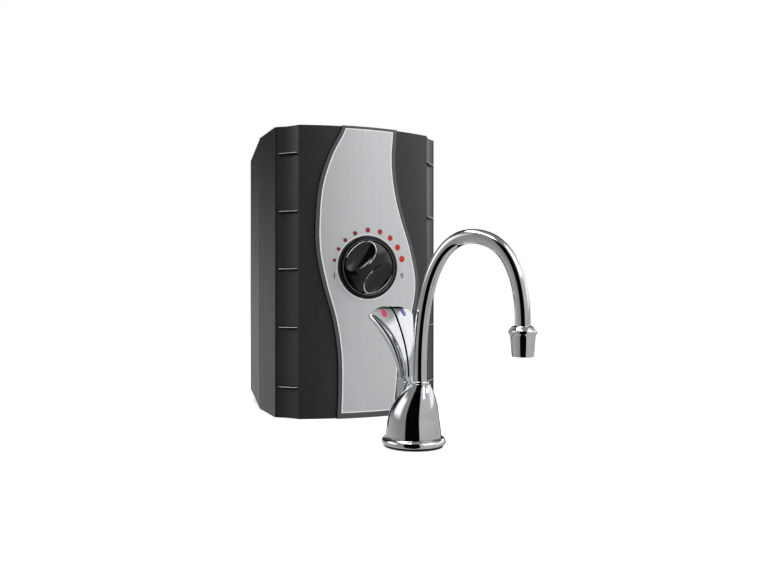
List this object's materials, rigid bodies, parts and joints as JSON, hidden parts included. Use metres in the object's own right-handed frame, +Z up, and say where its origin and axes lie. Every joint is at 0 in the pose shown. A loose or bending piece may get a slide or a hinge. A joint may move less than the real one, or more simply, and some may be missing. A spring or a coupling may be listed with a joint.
{
  "type": "instant hot water dispenser",
  "caption": "Under-sink instant hot water tank with a temperature dial on an S-shaped metal fascia, and its chrome gooseneck faucet with hot and cold levers.",
  "frame": {"origin": "centre of the tank's flat bottom", "axes": "+Z up, -Y out of the tank's front with the dial, +X to the right as seen from the front"},
  "size_m": [0.175, 0.3991, 0.283],
  "materials": {
    "case_black": "satin",
    "rim_grey": "satin",
    "brushed_silver": "satin",
    "gloss_black": "gloss",
    "chrome": "polished",
    "stainless": "satin",
    "zinc_steel": "satin",
    "brass": "satin",
    "rubber": "matte",
    "foam": "matte",
    "white_plastic": "satin",
    "heater_sheath": "satin",
    "mark_red": "satin",
    "mark_blue": "satin"
  },
  "bodies": {
    "dispenser": {"front_shell": "case_black", "rear_shell": "case_black", "fascia_rim": "rim_grey", "face_plate": "brushed_silver", "knob_bezel": "gloss_black", "thermostat_nut": "zinc_steel", "thermostat_body": "white_plastic", "sensor_bulb": "brass", "thermal_cutout": "gloss_black", "tank_vessel": "stainless", "element_gasket": "rubber", "element_flange": "brass", "heating_element": "heater_sheath", "foam_front": "foam", "foam_rear": "foam", "expansion_chamber": "white_plastic", "hot_outlet_stub": "white_plastic", "vent_stub": "white_plastic", "cold_inlet_stub": "white_plastic", "hot_outlet_grommet": "rubber", "vent_grommet": "rubber", "cold_inlet_grommet": "rubber", "drain_seal": "rubber", "drain_plug": "brass", "cord_gland": "rubber", "wall_bracket": "zinc_steel", "bracket_screw_left": "zinc_steel", "bracket_screw_right": "zinc_steel", "case_screw_1": "zinc_steel", "case_screw_2": "zinc_steel", "case_screw_3": "zinc_steel", "case_screw_4": "zinc_steel", "base_seal": "rubber", "base_flange": "chrome", "faucet_body": "chrome", "valve_block": "brass", "hot_return_spring": "zinc_steel", "lever_pivot_pin": "zinc_steel", "swivel_bush": "white_plastic", "neck_collar": "chrome"},
    "dial": {"dial_knob": "gloss_black", "knob_shaft": "zinc_steel"},
    "spout": {"spout_tube": "chrome", "nozzle_shell": "chrome", "nozzle_insert": "gloss_black"},
    "hot_lever": {"hot_lever": "chrome", "hot_marker": "mark_red"},
    "cold_lever": {"cold_lever": "chrome", "cold_marker": "mark_blue"},
    "hot_stem": {"hot_valve_stem": "brass"},
    "cold_stem": {"cold_valve_stem": "brass"}
  },
  "joints": [
    {"name": "knob_turn", "type": "hinge", "parent": "dispenser", "child": "dial", "pos_m": [-0.003, -0.0541, 0.1462], "axis": [0, -1, 0], "range_deg": [-29, 126]},
    {"name": "spout_swivel", "type": "hinge", "parent": "dispenser", "child": "spout", "pos_m": [-0.01791, -0.19114, 0], "axis": [0, 0, 1], "continuous": true},
    {"name": "hot_lever_hinge", "type": "hinge", "parent": "dispenser", "child": "hot_lever", "pos_m": [-0.02409, -0.18086, 0.039], "axis": [-0.8572, -0.515, 0], "range_deg": [0, 20], "stiffness_Nm_per_rad": 0.3, "springref_deg": -17.19},
    {"name": "cold_lever_hinge", "type": "hinge", "parent": "dispenser", "child": "cold_lever", "pos_m": [-0.02409, -0.18086, 0.039], "axis": [-0.8572, -0.515, 0], "range_deg": [0, 20]},
    {"name": "hot_stem_slide", "type": "slide", "parent": "dispenser", "child": "hot_stem", "axis": [0.515, -0.8572, 0], "range_m": [0, 0.003], "deforming": ["hot_return_spring"]},
    {"name": "cold_stem_slide", "type": "slide", "parent": "dispenser", "child": "cold_stem", "axis": [0.515, -0.8572, 0], "range_m": [0, 0.003]}
  ],
  "couplings": [
    {"joint": "hot_stem_slide", "follows": "hot_lever_hinge", "m_per_rad": 0.0085},
    {"joint": "cold_stem_slide", "follows": "cold_lever_hinge", "m_per_rad": 0.0085}
  ]
}
